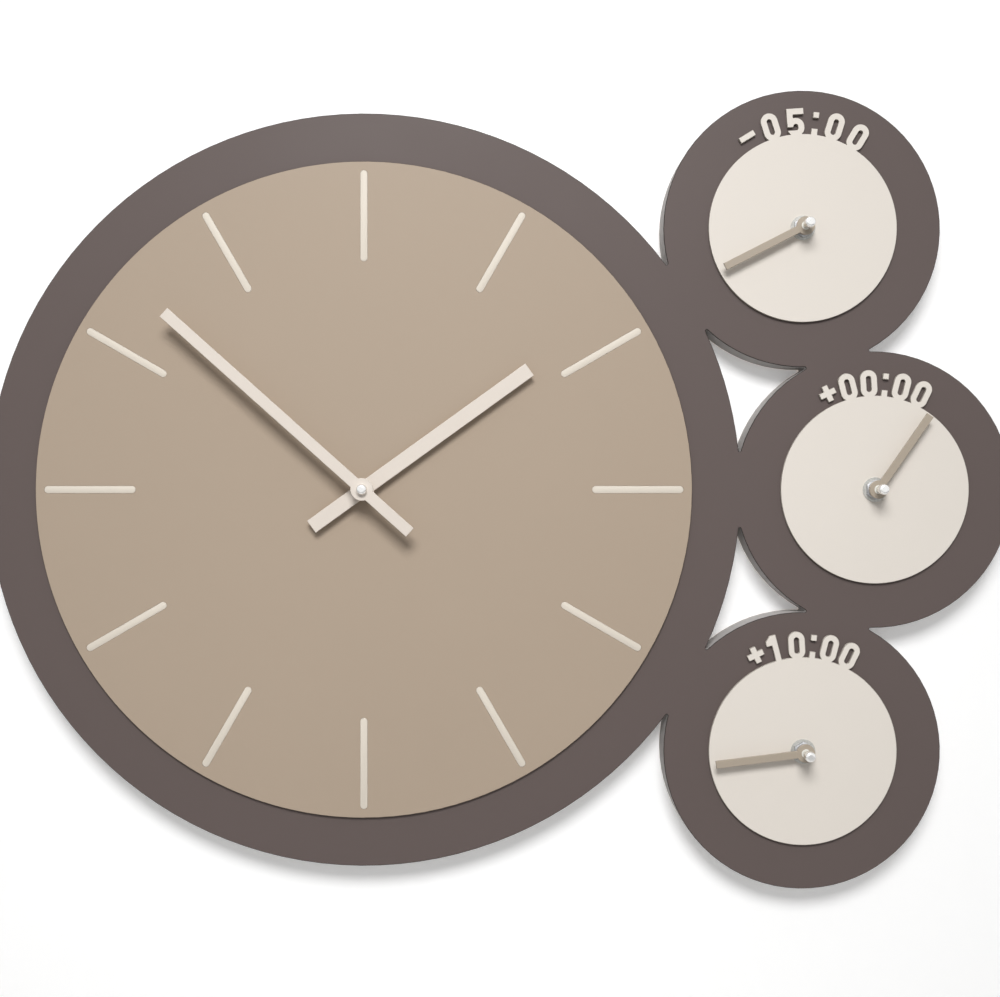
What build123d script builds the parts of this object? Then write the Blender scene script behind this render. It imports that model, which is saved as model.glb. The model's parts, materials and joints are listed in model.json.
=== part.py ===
import os
from math import acos, cos, degrees, pi, radians, sin, tan

from build123d import *

# A wall clock with a main dial and three zone dials on one base.
# Millimetres. +X is to the right of the dial as it is read, +Z is up, and the wall is the
# plane Y = 0, so that every piece lies at negative Y. The origin is on the main dial's axis.
# A depth is a distance in front of the wall. Hands turn clockwise about +Y.

os.makedirs("parts", exist_ok=True)

# Base, two glued sheets of one outline
main_disc_radius = 215.0
zone_disc_radius = 79.0
zone_centre_distance = 291.0
zone_spacing_angle = 30.8
neck_fillet = 0.7
back_board_thickness = 7.5
front_panel_thickness = 7.5
window_width = 58.0
window_corner = 2.0
panel_edge_round = 0.5
board_edge_round = 0.25

# Dials
main_dial_radius = 187.0
zone_dial_radius = 53.5
dial_thickness = 2.0
dial_edge_round = 0.3
index_count = 12
index_inner_radius = 130.0
index_outer_radius = 182.0
index_width = 4.1
index_depth = 1.0
index_clearance = 0.05

# Raised figures, cut from the zone dials' own sheet
figure_top_radius = 68.2
figure_width = 9.6
figure_stroke = 3.4
figure_merge = 1.2
figure_gap_angle = 2.3
digit_angle = 9.1
colon_angle = 4.2
five_bowl_share = 0.66
flag_drop_share = 0.18
upper_zone_spread = 1.2

# Hands, with their angles clockwise from twelve
main_hand_thickness = 1.5
minute_hand_length = 148.4
minute_hand_width = 6.4
minute_hand_angle = 311.8
hour_hand_length = 116.0
hour_hand_width = 8.3
hour_hand_angle = 54.2
main_hand_tail = 36.0
main_boss_radius = 6.3
zone_hand_length = 51.1
zone_hand_width = 4.2
zone_hand_thickness = 1.2
zone_boss_radius = 5.2
upper_hand_angle = 242.9
middle_hand_angle = 34.9
lower_hand_angle = 262.8
hand_edge_round = 0.2
main_hour_hand_height = 3.7
main_minute_hand_height = 11.6
zone_hour_hand_height = 5.0

# Fits
running_clearance = 0.05
press_clearance = 0.02
slide_clearance = 0.1
axial_play = 0.3

# Caps on the minute arbors
cap_radius = 3.0
main_cap_height = 3.2
zone_cap_height = 4.2
zone_cap_stand = 11.6
cap_round = 1.6
cap_crown = 1.2

# Clamping of a movement to its dial
bushing_outer_radius = 3.9
bushing_flange_radius = 5.5
bushing_flange_thickness = 1.0
bushing_stand_out = 3.1
washer_thickness = 0.6
zone_washer_radius = 7.0
main_washer_radius = 6.0
nut_across_flats = 10.0
nut_height = 2.0
gasket_radius = 14.0
gasket_thickness = 0.5

# Movement case, open at the back
case_width = 56.0
case_wall = 1.2
case_corner = 2.0
case_rear_depth = 0.5
bay_wall = 1.0
bay_top = -11.4
bay_slot_height = 11.0
corner_block = 3.0
cover_depth = 3.0
cover_thickness = 1.2
pivot_hole_depth = 0.6

# AA cell and its contacts
cell_radius = 6.95
cell_length = 50.5
cell_button_radius = 2.6
cell_button_length = 1.2
contact_thickness = 0.4
contact_width = 8.0

# Motion work
motion_module = 0.30
cannon_teeth = 12
motion_wheel_teeth = 36
hour_module = 0.24
motion_pinion_teeth = 12
hour_wheel_teeth = 48
pressure_angle = 25.0
addendum_share = 0.85
dedendum_share = 1.15
backlash_share = 0.10
gear_width = 0.8
hour_tube_radius = 2.5
arbor_radius = 1.75
arbor_thin_radius = 1.0
pivot_radius = 0.6
pivot_length = 0.8
post_radius = 0.6
motion_wheel_depth = 9.3
hour_wheel_depth = 10.95
knob_radius = 4.5
knob_thickness = 1.8
knob_gap = 0.4
knob_shaft_radius = 2.1
knob_grips = 18
knob_grip_depth = 0.25

# Going train, from the rotor to the centre wheel
train_arbor_radius = 0.35
third_module = 0.22
seconds_module = 0.18
fifth_module = 0.20
rotor_module = 0.13
centre_teeth = 60
third_pinion_teeth = 8
third_teeth = 64
seconds_pinion_teeth = 8
seconds_teeth = 40
fifth_pinion_teeth = 10
fifth_teeth = 60
rotor_pinion_teeth = 8
third_heading = 150.0
seconds_heading = 90.0
fifth_heading = 20.0
rotor_heading = 0.0
centre_wheel_depth = 5.0
train_layer_step = 1.4
centre_hub_radius = 1.5
centre_hub_length = 1.2
magnet_radius = 1.6
magnet_length = 1.2

# Stepping motor and circuit
stator_thickness = 0.8
stator_arm_width = 4.4
stator_ring_radius = 3.6
stator_bore_radius = 2.0
stator_knee = 10.0
coil_offset = 20.5
coil_bottom = 5.2
coil_top = 23.0
core_width = 2.4
core_thickness = 1.2
core_overhang = 2.0
bobbin_radius = 3.2
bobbin_hub_radius = 2.0
bobbin_flange = 0.8
winding_radius = 2.9
pillar_radius = 1.4
pillar_offset = 16.0
board_width = 10.0
board_height = 26.0
board_thickness = 0.8
board_offset = 21.0
board_rise = 6.0
chip_size = 4.0
chip_height = 1.0

# Keyhole hangers, recessed in the back
hanger_height = 150.0
left_hanger_offset = -60.0
right_hanger_offset = 120.0
hanger_width = 20.0
hanger_length = 40.0
hanger_thickness = 1.5
hanger_recess = 1.5
hanger_corner = 2.0
keyhole_radius = 4.5
keyslot_width = 4.4
keyslot_rise = 9.0
keyhole_drop = 4.5
head_pocket_radius = 5.25
head_room = 3.0
screw_spacing = 32.0
screw_radius = 1.5
screw_hole_radius = 1.55
screw_head_radius = 2.6
screw_head_height = 1.2
screw_length = 4.0

touch = 0.001


# Places worked out from the sizes
zone_angles = (zone_spacing_angle, 0, -zone_spacing_angle)
zone_centres = [
    (zone_centre_distance * cos(radians(a)), zone_centre_distance * sin(radians(a))) for a in zone_angles
]
centres = dict(zip(("main", "upper", "middle", "lower"), [(0, 0)] + zone_centres))
places = {name: Location((x, 0, z)) for name, (x, z) in centres.items()}
zone_hand_angles = dict(upper=upper_hand_angle, middle=middle_hand_angle, lower=lower_hand_angle)
zone_figures = dict(upper="-05:00", middle="+00:00", lower="+10:00")

base_front = back_board_thickness + front_panel_thickness
dial_front = base_front + dial_thickness
case_front = base_front - gasket_thickness
case_depth = case_front - case_rear_depth
front_wall = case_front - case_wall
case_inner = case_width / 2 - case_wall
bay_ceiling = bay_top - bay_wall
cell_centre = (bay_ceiling - case_inner) / 2
cell_depth = case_rear_depth + case_depth / 2
cover_front = cover_depth + cover_thickness
bushing_front = dial_front + bushing_stand_out
nut_back = dial_front + washer_thickness


def mesh_distance(module, wheel, pinion):
    """The distance between two gears in mesh."""
    return module * (wheel + pinion) / 2


def step(start, distance, heading):
    """The point that lies a distance from another, at an angle from +X."""
    return (start[0] + distance * cos(radians(heading)), start[1] + distance * sin(radians(heading)))


motion_distance = mesh_distance(motion_module, motion_wheel_teeth, cannon_teeth)
motion_place = (motion_distance, 0)
knob_place = (motion_distance * 2, 0)
third_distance = mesh_distance(third_module, centre_teeth, third_pinion_teeth)
third_place = step((0, 0), third_distance, third_heading)
seconds_distance = mesh_distance(seconds_module, third_teeth, seconds_pinion_teeth)
seconds_place = step(third_place, seconds_distance, seconds_heading)
fifth_distance = mesh_distance(fifth_module, seconds_teeth, fifth_pinion_teeth)
fifth_place = step(seconds_place, fifth_distance, fifth_heading)
rotor_distance = mesh_distance(rotor_module, fifth_teeth, rotor_pinion_teeth)
rotor_place = step(fifth_place, rotor_distance, rotor_heading)
train_places = (third_place, seconds_place, fifth_place, rotor_place)
third_depth, seconds_depth = (centre_wheel_depth + train_layer_step * n for n in (1, 2))
fifth_depth = centre_wheel_depth + train_layer_step * 3
stator_depth = third_depth
core_depth = stator_depth + stator_thickness
core_middle = core_depth + core_thickness / 2


def facing(depth, centre=(0, 0), clock_angle=0):
    """A plane that faces the reader, with its own up turned clockwise from twelve."""
    a = radians(clock_angle)
    return Plane(origin=(centre[0], -depth, centre[1]), x_dir=(cos(a), 0, -sin(a)), z_dir=(0, -1, 0))


def finish(builder, name):
    """Names a finished piece and writes its file."""
    builder.part.label = name
    export_step(builder.part, f"parts/{name}.step")


def finish_copies(master, name, where=places.values()):
    """Writes one file with a copy of the master at each place."""
    with BuildPart() as copies:
        with Locations(*where):
            add(master.part)
    finish(copies, name)


def finish_each(master, name):
    """Writes one file for each of the four movements."""
    for dial, place in places.items():
        finish_copies(master, f"{dial}_{name}", [place])


def ring(depth, height, outer, inner=0, centre=(0, 0), mode=Mode.ADD):
    """A round plate or tube along the reading direction, in the part being built."""
    with BuildSketch(facing(depth, centre)) as face:
        Circle(outer)
        if inner:
            Circle(inner, mode=Mode.SUBTRACT)
    extrude(face.sketch, amount=height, mode=mode)


def involute(angle):
    return tan(angle) - angle


def gear_outline(module, teeth, heading=0):
    """A gear's face, with the middle of one tooth at the heading."""
    pitch = module * teeth / 2
    base = pitch * cos(radians(pressure_angle))
    root = pitch - dedendum_share * module
    tip = pitch + addendum_share * module
    half_tooth = (1 - backlash_share) * pi / teeth / 2 + involute(radians(pressure_angle))
    radii = (root, max(root, base), pitch, tip)
    flank = [(r, half_tooth - involute(acos(min(1, base / r)))) for r in radii]
    if base < root:
        flank.pop(0)
    outline = []
    for n in range(teeth):
        middle = radians(heading) + 2 * pi * n / teeth
        for r, half in flank:
            outline.append((r * cos(middle - half), r * sin(middle - half)))
        for r, half in reversed(flank):
            outline.append((r * cos(middle + half), r * sin(middle + half)))
    Polygon(*outline, align=None)


def gear(depth, module, teeth, centre=(0, 0), heading=0, width=gear_width, bore=0):
    """A toothed wheel, in the part being built."""
    with BuildSketch(facing(depth, centre)) as face:
        gear_outline(module, teeth, heading)
        if bore:
            Circle(bore, mode=Mode.SUBTRACT)
    extrude(face.sketch, amount=width)


def gap_heading(heading, teeth):
    """Turns a gear by half a tooth, so that a gap and not a tooth lies at the heading."""
    return heading + degrees(pi / teeth)


def base_sheet(depth, thickness):
    """One sheet of the base: four discs that run into one another, and a window behind each dial."""
    with BuildSketch(facing(depth)) as outline:
        Circle(main_disc_radius)
        with Locations(*zone_centres):
            Circle(zone_disc_radius)
        fillet(outline.vertices(), radius=neck_fillet)
        with Locations(*centres.values()):
            RectangleRounded(window_width, window_width, window_corner, mode=Mode.SUBTRACT)
    extrude(outline.sketch, amount=thickness)


def curved_edges(face):
    """The edges of a base sheet's face around its outline and its three-cornered openings."""
    wires = [wire for wire in face.wires() if not wire.edges().filter_by(GeomType.LINE)]
    return [edge for wire in wires for edge in wire.edges()]


# Base
with BuildPart() as front_panel:
    base_sheet(back_board_thickness, front_panel_thickness)
    fillet(curved_edges(front_panel.faces().sort_by(Axis.Y)[0]), radius=panel_edge_round)
finish(front_panel, "front_panel")

hangers = [(x, hanger_height) for x in (left_hanger_offset, right_hanger_offset)]
screw_places = [(x + side * screw_spacing / 2, z) for x, z in hangers for side in (-1, 1)]
keyslot_places = [(x, z - keyhole_drop) for x, z in hangers]


def keyhole_outline():
    """A round entry with a slot that runs up from it."""
    Circle(keyhole_radius)
    with Locations((0, keyslot_rise / 2)):
        Rectangle(keyslot_width, keyslot_rise)
    with Locations((0, keyslot_rise)):
        Circle(keyslot_width / 2)


with BuildPart() as back_board:
    base_sheet(0, back_board_thickness)
    fillet(curved_edges(back_board.faces().sort_by(Axis.Y)[-1]), radius=board_edge_round)
    with BuildSketch(facing(0)):
        with Locations(*hangers):
            RectangleRounded(
                hanger_length + slide_clearance * 2, hanger_width + slide_clearance * 2, hanger_corner
            )
    extrude(amount=hanger_recess + hanger_thickness, mode=Mode.SUBTRACT)
    for place in keyslot_places:
        with BuildSketch(facing(hanger_recess + hanger_thickness, place)):
            with Locations((0, keyslot_rise / 2)):
                SlotCenterToCenter(keyslot_rise, head_pocket_radius * 2, rotation=90)
        extrude(amount=head_room, mode=Mode.SUBTRACT)
    for place in screw_places:
        ring(0, hanger_recess + screw_length, screw_hole_radius, centre=place, mode=Mode.SUBTRACT)
finish(back_board, "back_board")

# Keyhole hangers and their screws
with BuildPart() as hanger_plates:
    with BuildSketch(facing(hanger_recess)):
        with Locations(*hangers):
            RectangleRounded(hanger_length, hanger_width, hanger_corner)
        with Locations(*screw_places):
            Circle(screw_hole_radius, mode=Mode.SUBTRACT)
    extrude(amount=hanger_thickness)
    for place in keyslot_places:
        with BuildSketch(facing(hanger_recess, place)):
            keyhole_outline()
        extrude(amount=hanger_thickness, mode=Mode.SUBTRACT)
finish(hanger_plates, "hanger_plates")

with BuildPart() as hanger_screws:
    for place in screw_places:
        ring(hanger_recess - screw_head_height, screw_head_height, screw_head_radius, centre=place)
        ring(hanger_recess, screw_length, screw_radius, centre=place)
finish(hanger_screws, "hanger_screws")


# Dials
def dial_hole(centre=(0, 0)):
    """The hole that a movement's bushing passes through, in the part being built."""
    hole = bushing_outer_radius + slide_clearance
    ring(base_front, dial_thickness, hole, centre=centre, mode=Mode.SUBTRACT)


index_length = index_outer_radius - index_inner_radius
index_middle = (index_outer_radius + index_inner_radius) / 2


def index_outlines(clearance=0):
    """Round-ended bars around the main dial."""
    with PolarLocations(index_middle, index_count):
        SlotOverall(index_length + clearance * 2, index_width + clearance * 2)


with BuildPart() as main_dial:
    ring(base_front, dial_thickness, main_dial_radius)
    fillet(main_dial.faces().sort_by(Axis.Y)[0].outer_wire().edges(), radius=dial_edge_round)
    dial_hole()
    with BuildSketch(facing(dial_front - index_depth)):
        index_outlines(index_clearance)
    extrude(amount=index_depth, mode=Mode.SUBTRACT)
finish(main_dial, "main_dial")

with BuildPart() as index_bars:
    with BuildSketch(facing(dial_front - index_depth)):
        index_outlines()
    extrude(amount=index_depth)
finish(index_bars, "index_bars")

figure_foot = zone_dial_radius - figure_merge
figure_height = figure_top_radius - figure_foot
figure_middle = (figure_top_radius + zone_dial_radius) / 2
bowl_height = figure_height * five_bowl_share


def bar(left, bottom, width, height, mode=Mode.ADD):
    """A rectangle by its lower left corner, measured from the figure's foot line."""
    with Locations((left + width / 2, figure_foot + bottom + height / 2)):
        Rectangle(width, height, mode=mode)


def oval(bottom, height, inset=0, mode=Mode.ADD):
    """An upright slot, which is the outer or inner line of a round figure."""
    with Locations((0, figure_foot + bottom + height / 2)):
        SlotOverall(height - inset * 2, figure_width - inset * 2, rotation=90, mode=mode)


def draw_zero():
    oval(0, figure_height)
    oval(0, figure_height, figure_stroke, Mode.SUBTRACT)


def draw_one():
    left = -figure_stroke / 2
    bar(left, 0, figure_stroke, figure_height)
    top = figure_top_radius
    drop = figure_height * flag_drop_share
    Polygon((left, top), (left, top - drop * 2), (-figure_width / 2, top - drop * 2),
            (-figure_width / 2, top - drop), align=None)


def draw_five():
    left = -figure_width / 2
    oval(0, bowl_height)
    oval(0, bowl_height, figure_stroke, Mode.SUBTRACT)
    mouth = bowl_height - figure_stroke * 2
    bar(left, figure_stroke, figure_width / 2, mouth - figure_stroke / 2, Mode.SUBTRACT)
    bar(left, bowl_height - figure_stroke, figure_width / 2, figure_stroke)
    bar(left, bowl_height - figure_stroke, figure_stroke, figure_height - bowl_height + figure_stroke)
    bar(left, figure_height - figure_stroke, figure_width, figure_stroke)


def draw_colon():
    bar(-figure_stroke / 2, 0, figure_stroke, figure_merge + figure_stroke)


drawings = {"0": draw_zero, "1": draw_one, "5": draw_five, ":": draw_colon}


def draw_mark(letter):
    """The loose part of a sign or of a colon, which rests on the base by itself."""
    if letter == ":":
        with Locations((0, figure_top_radius - figure_stroke)):
            Rectangle(figure_stroke, figure_stroke)
    else:
        with Locations((0, figure_middle)):
            Rectangle(figure_width, figure_stroke)
            if letter == "+":
                Rectangle(figure_stroke, figure_width)


def figure_angles(dial):
    """The clock angle of each figure's middle, spread evenly about twelve."""
    spread = upper_zone_spread if dial == "upper" else 1
    text = zone_figures[dial]
    widths = [(colon_angle if letter == ":" else digit_angle) + figure_gap_angle for letter in text]
    starts = [sum(widths[:n]) - sum(widths) / 2 for n in range(len(text))]
    return [(letter, (start + width / 2) * spread) for letter, start, width in zip(text, starts, widths)]


for dial, centre in list(centres.items())[1:]:
    with BuildPart() as zone_dial:
        ring(base_front, dial_thickness, zone_dial_radius, centre=centre)
        for letter, angle in figure_angles(dial):
            if letter in drawings:
                with BuildSketch(facing(base_front, centre, angle)):
                    drawings[letter]()
                extrude(amount=dial_thickness)
        dial_hole(centre)
    finish(zone_dial, f"{dial}_zone_dial")

with BuildPart() as raised_marks:
    for dial, centre in list(centres.items())[1:]:
        for letter, angle in figure_angles(dial):
            if letter in "+-:":
                with BuildSketch(facing(base_front, centre, angle)):
                    draw_mark(letter)
                extrude(amount=dial_thickness)
finish(raised_marks, "raised_marks")


# Hands
def hand(depth, centre, angle, length, tail, width, boss, thickness, bore):
    """A straight bar with a round boss, in the part being built."""
    with BuildSketch(facing(depth, centre, angle)) as face:
        with Locations((0, (length - tail) / 2)):
            Rectangle(width, length + tail)
        Circle(boss)
        Circle(bore + press_clearance, mode=Mode.SUBTRACT)
    extrude(face.sketch, amount=thickness)


minute_hand_depth = dial_front + main_minute_hand_height
with BuildPart() as main_minute_hand:
    hand(minute_hand_depth, (0, 0), minute_hand_angle, minute_hand_length, main_hand_tail,
         minute_hand_width, main_boss_radius, main_hand_thickness, arbor_radius)
    chamfer(main_minute_hand.faces().sort_by(Axis.Y)[0].outer_wire().edges(), length=hand_edge_round)
finish(main_minute_hand, "main_minute_hand")

with BuildPart() as main_hour_hand:
    hand(dial_front + main_hour_hand_height, (0, 0), hour_hand_angle, hour_hand_length, main_hand_tail,
         hour_hand_width, main_boss_radius, main_hand_thickness, hour_tube_radius)
    chamfer(main_hour_hand.faces().sort_by(Axis.Y)[0].outer_wire().edges(), length=hand_edge_round)
finish(main_hour_hand, "main_hour_hand")

zone_hand_depth = dial_front + zone_hour_hand_height
for dial, angle in zone_hand_angles.items():
    with BuildPart() as zone_hand:
        hand(zone_hand_depth, centres[dial], angle, zone_hand_length, 0,
             zone_hand_width, zone_boss_radius, zone_hand_thickness, hour_tube_radius)
        chamfer(zone_hand.faces().sort_by(Axis.Y)[0].outer_wire().edges(), length=hand_edge_round)
    finish(zone_hand, f"{dial}_hour_hand")

# Caps, pressed on the ends of the minute arbors
main_tube_front = dial_front + main_hour_hand_height + main_hand_thickness + axial_play
zone_tube_front = zone_hand_depth + zone_hand_thickness + axial_play
main_cap_depth = minute_hand_depth + main_hand_thickness
zone_cap_depth = dial_front + zone_cap_stand


for dial, centre in centres.items():
    depth, height = (main_cap_depth, main_cap_height) if dial == "main" else (zone_cap_depth, zone_cap_height)
    with BuildPart() as cap:
        ring(depth, height, cap_radius, centre=centre)
        fillet(cap.faces().sort_by(Axis.Y)[0].edges(), radius=cap_round)
        ring(depth, height - cap_crown, arbor_radius + press_clearance, centre=centre, mode=Mode.SUBTRACT)
    finish(cap, f"{dial}_cap")

# Clamping pieces
with BuildPart() as gasket:
    ring(case_front, gasket_thickness, gasket_radius, bushing_outer_radius + slide_clearance)
finish_copies(gasket, "rubber_gaskets")

with BuildPart() as clamp_washers:
    for dial, centre in centres.items():
        radius = main_washer_radius if dial == "main" else zone_washer_radius
        ring(dial_front, washer_thickness, radius, bushing_outer_radius + running_clearance, centre)
finish(clamp_washers, "clamp_washers")

with BuildPart() as clamp_nut:
    with BuildSketch(facing(nut_back)):
        RegularPolygon(nut_across_flats / 2, 6, major_radius=False)
        Circle(bushing_outer_radius + press_clearance, mode=Mode.SUBTRACT)
    extrude(amount=nut_height)
finish_copies(clamp_nut, "clamp_nuts")

tube_bore = arbor_radius + running_clearance
bushing_bore = hour_tube_radius + running_clearance
flange_depth = front_wall - bushing_flange_thickness
with BuildPart() as bushing:
    ring(flange_depth, bushing_flange_thickness, bushing_flange_radius, bushing_bore)
    ring(front_wall, bushing_front - front_wall, bushing_outer_radius, bushing_bore)
finish_copies(bushing, "threaded_bushings")

# Movement case: a tray that opens to the back, with a bay for the cell along its bottom
with BuildPart() as movement_case:
    with BuildSketch(facing(case_rear_depth)):
        RectangleRounded(case_width, case_width, case_corner)
    extrude(amount=case_depth)
    with BuildSketch(facing(case_rear_depth)):
        Rectangle(case_inner * 2, case_inner * 2)
    extrude(amount=case_depth - case_wall, mode=Mode.SUBTRACT)
    with BuildSketch(facing(cover_depth)):
        with Locations((0, bay_top - bay_wall / 2)):
            Rectangle(case_inner * 2, bay_wall)
    extrude(amount=front_wall - cover_depth)
    with BuildSketch(facing(cover_front)):
        for side in (-1, 1):
            for level in (bay_top + corner_block / 2, case_inner - corner_block / 2):
                with Locations((side * (case_inner - corner_block / 2), level)):
                    Rectangle(corner_block, corner_block)
    extrude(amount=front_wall - cover_front)
    with BuildSketch(facing(front_wall)):
        with Locations((0, cell_centre)):
            Rectangle(cell_length + slide_clearance * 2, bay_slot_height)
    extrude(amount=case_wall, mode=Mode.SUBTRACT)
    ring(front_wall, case_wall, bushing_outer_radius + running_clearance, mode=Mode.SUBTRACT)
    ring(motion_wheel_depth - axial_play, front_wall - motion_wheel_depth + axial_play, post_radius,
         centre=motion_place)
    for level in (coil_bottom, coil_top):
        ring(core_depth, front_wall - core_depth, pillar_radius, centre=(pillar_offset, level))
    for place in train_places:
        ring(front_wall, pivot_hole_depth, train_arbor_radius + running_clearance, centre=place,
             mode=Mode.SUBTRACT)
    pivot_hole = pivot_radius + running_clearance
    ring(front_wall, pivot_hole_depth, pivot_hole, centre=knob_place, mode=Mode.SUBTRACT)
finish_each(movement_case, "movement_case")

with BuildPart() as rear_cover:
    cover_height = case_inner - bay_top - slide_clearance * 2
    with BuildSketch(facing(cover_depth)):
        with Locations((0, bay_top + slide_clearance + cover_height / 2)):
            Rectangle((case_inner - slide_clearance) * 2, cover_height)
        with Locations(knob_place):
            Circle(knob_shaft_radius + running_clearance, mode=Mode.SUBTRACT)
    extrude(amount=cover_thickness)
    for place, radius in [(p, train_arbor_radius) for p in train_places] + [((0, 0), pivot_radius)]:
        ring(cover_front - pivot_hole_depth, pivot_hole_depth, radius + running_clearance, centre=place,
             mode=Mode.SUBTRACT)
finish_copies(rear_cover, "rear_covers")

# Cell and contacts
with BuildPart() as cell:
    with BuildSketch(Plane.YZ.offset(-cell_length / 2)):
        with Locations((-cell_depth, cell_centre)):
            Circle(cell_radius)
    extrude(amount=cell_length - cell_button_length)
    with BuildSketch(Plane.YZ.offset(cell_length / 2 - cell_button_length)):
        with Locations((-cell_depth, cell_centre)):
            Circle(cell_button_radius)
    extrude(amount=cell_button_length)
finish_each(cell, "battery_cell")

with BuildPart() as contacts:
    reach = case_inner - cell_length / 2
    for side in (-1, 1):
        with BuildSketch(Plane.XY.offset(cell_centre - contact_width / 2)):
            with Locations((side * (case_inner - contact_thickness / 2), -cell_depth)):
                Rectangle(contact_thickness, contact_width)
            with Locations((side * (case_inner - reach / 2), -cell_depth)):
                Rectangle(reach, contact_thickness)
            with Locations((side * (cell_length / 2 + contact_thickness / 2), -cell_depth)):
                Rectangle(contact_thickness, cell_button_radius)
        extrude(amount=contact_width)
finish_copies(contacts, "battery_contacts")

# Motion work
pivot_start = cover_front - pivot_hole_depth + touch
thin_start = pivot_start + pivot_length
thick_start = motion_wheel_depth + gear_width
for dial, centre in centres.items():
    cap_front = main_cap_depth + main_cap_height if dial == "main" else zone_cap_depth + zone_cap_height
    with BuildPart() as minute_arbor:
        ring(pivot_start, pivot_length, pivot_radius, centre=centre)
        ring(thin_start, motion_wheel_depth - thin_start, arbor_thin_radius, centre=centre)
        gear(motion_wheel_depth, motion_module, cannon_teeth, centre)
        ring(thick_start, cap_front - cap_crown - thick_start, arbor_radius, centre=centre)
    finish(minute_arbor, f"{dial}_minute_arbor")

motion_gap = gap_heading(180, motion_wheel_teeth)
with BuildPart() as motion_wheel:
    bore = post_radius + running_clearance
    gear(motion_wheel_depth, motion_module, motion_wheel_teeth, motion_place, motion_gap, bore=bore)
    gear(motion_wheel_depth + gear_width, hour_module, motion_pinion_teeth, motion_place, 180,
         hour_wheel_depth - motion_wheel_depth, bore)
finish_each(motion_wheel, "motion_wheel")

hour_gap = gap_heading(0, hour_wheel_teeth)
for dial, centre in centres.items():
    tube_front = main_tube_front if dial == "main" else zone_tube_front
    with BuildPart() as hour_wheel:
        gear(hour_wheel_depth, hour_module, hour_wheel_teeth, centre, hour_gap, bore=tube_bore)
        ring(hour_wheel_depth, tube_front - hour_wheel_depth, hour_tube_radius, tube_bore, centre)
    finish(hour_wheel, f"{dial}_hour_wheel")

with BuildPart() as set_knob:
    knob_depth = cover_depth - knob_gap - knob_thickness
    ring(knob_depth, knob_thickness, knob_radius, centre=knob_place)
    with BuildSketch(facing(knob_depth, knob_place)):
        with PolarLocations(knob_radius, knob_grips):
            Circle(knob_grip_depth)
    extrude(amount=knob_thickness, mode=Mode.SUBTRACT)
    ring(cover_depth - knob_gap, cover_thickness + knob_gap, knob_shaft_radius, centre=knob_place)
    pinion_width = motion_wheel_depth + gear_width - cover_front
    gear(cover_front, motion_module, cannon_teeth, knob_place, 180, pinion_width)
    knob_tail = motion_wheel_depth + gear_width
    ring(knob_tail, front_wall + pivot_hole_depth - knob_tail - touch, pivot_radius, centre=knob_place)
finish_each(set_knob, "set_knob")

# Going train
arbor_length = front_wall + pivot_hole_depth - touch - pivot_start


def train_arbor(place):
    """The thin arbor that a wheel of the train turns on, in the part being built."""
    ring(pivot_start, arbor_length, train_arbor_radius, centre=place)


with BuildPart() as centre_wheel:
    bore = arbor_thin_radius + running_clearance
    gear(centre_wheel_depth, third_module, centre_teeth, (0, 0), third_heading, bore=bore)
    ring(centre_wheel_depth + gear_width, centre_hub_length, centre_hub_radius, bore)
finish_copies(centre_wheel, "centre_wheels")

with BuildPart() as third_wheel:
    train_arbor(third_place)
    back_heading = third_heading + 180
    gear(centre_wheel_depth, third_module, third_pinion_teeth, third_place,
         gap_heading(back_heading, third_pinion_teeth))
    gear(third_depth, seconds_module, third_teeth, third_place, seconds_heading)
finish_copies(third_wheel, "third_wheels")

with BuildPart() as seconds_wheel:
    train_arbor(seconds_place)
    back_heading = seconds_heading + 180
    gear(third_depth, seconds_module, seconds_pinion_teeth, seconds_place,
         gap_heading(back_heading, seconds_pinion_teeth))
    gear(seconds_depth, fifth_module, seconds_teeth, seconds_place, fifth_heading)
finish_copies(seconds_wheel, "seconds_wheels")

with BuildPart() as fifth_wheel:
    train_arbor(fifth_place)
    back_heading = fifth_heading + 180
    gear(seconds_depth, fifth_module, fifth_pinion_teeth, fifth_place,
         gap_heading(back_heading, fifth_pinion_teeth))
    gear(fifth_depth, rotor_module, fifth_teeth, fifth_place, rotor_heading)
finish_copies(fifth_wheel, "fifth_wheels")

with BuildPart() as step_rotor:
    train_arbor(rotor_place)
    back_heading = rotor_heading + 180
    gear(fifth_depth, rotor_module, rotor_pinion_teeth, rotor_place,
         gap_heading(back_heading, rotor_pinion_teeth))
    magnet_depth = stator_depth - (magnet_length - stator_thickness) / 2
    ring(magnet_depth, magnet_length, magnet_radius, centre=rotor_place)
finish_copies(step_rotor, "step_rotors")

# Stepping motor
with BuildPart() as stator:
    with BuildSketch(facing(stator_depth)):
        with BuildLine():
            Polyline((coil_offset, coil_top), (stator_knee, coil_top), rotor_place,
                     (stator_knee, coil_bottom), (coil_offset, coil_bottom))
        trace(line_width=stator_arm_width)
        with Locations(rotor_place):
            Circle(stator_ring_radius)
            Circle(stator_bore_radius, mode=Mode.SUBTRACT)
    extrude(amount=stator_thickness)
finish_copies(stator, "stators")

core_length = coil_top - coil_bottom + core_overhang * 2
coil_middle = (coil_top + coil_bottom) / 2
bobbin_length = coil_top - coil_bottom - stator_arm_width - slide_clearance * 4
with BuildPart() as coil_core:
    with BuildSketch(facing(core_depth)):
        with Locations((coil_offset, coil_middle)):
            Rectangle(core_width, core_length)
    extrude(amount=core_thickness)
finish_copies(coil_core, "coil_cores")


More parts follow.
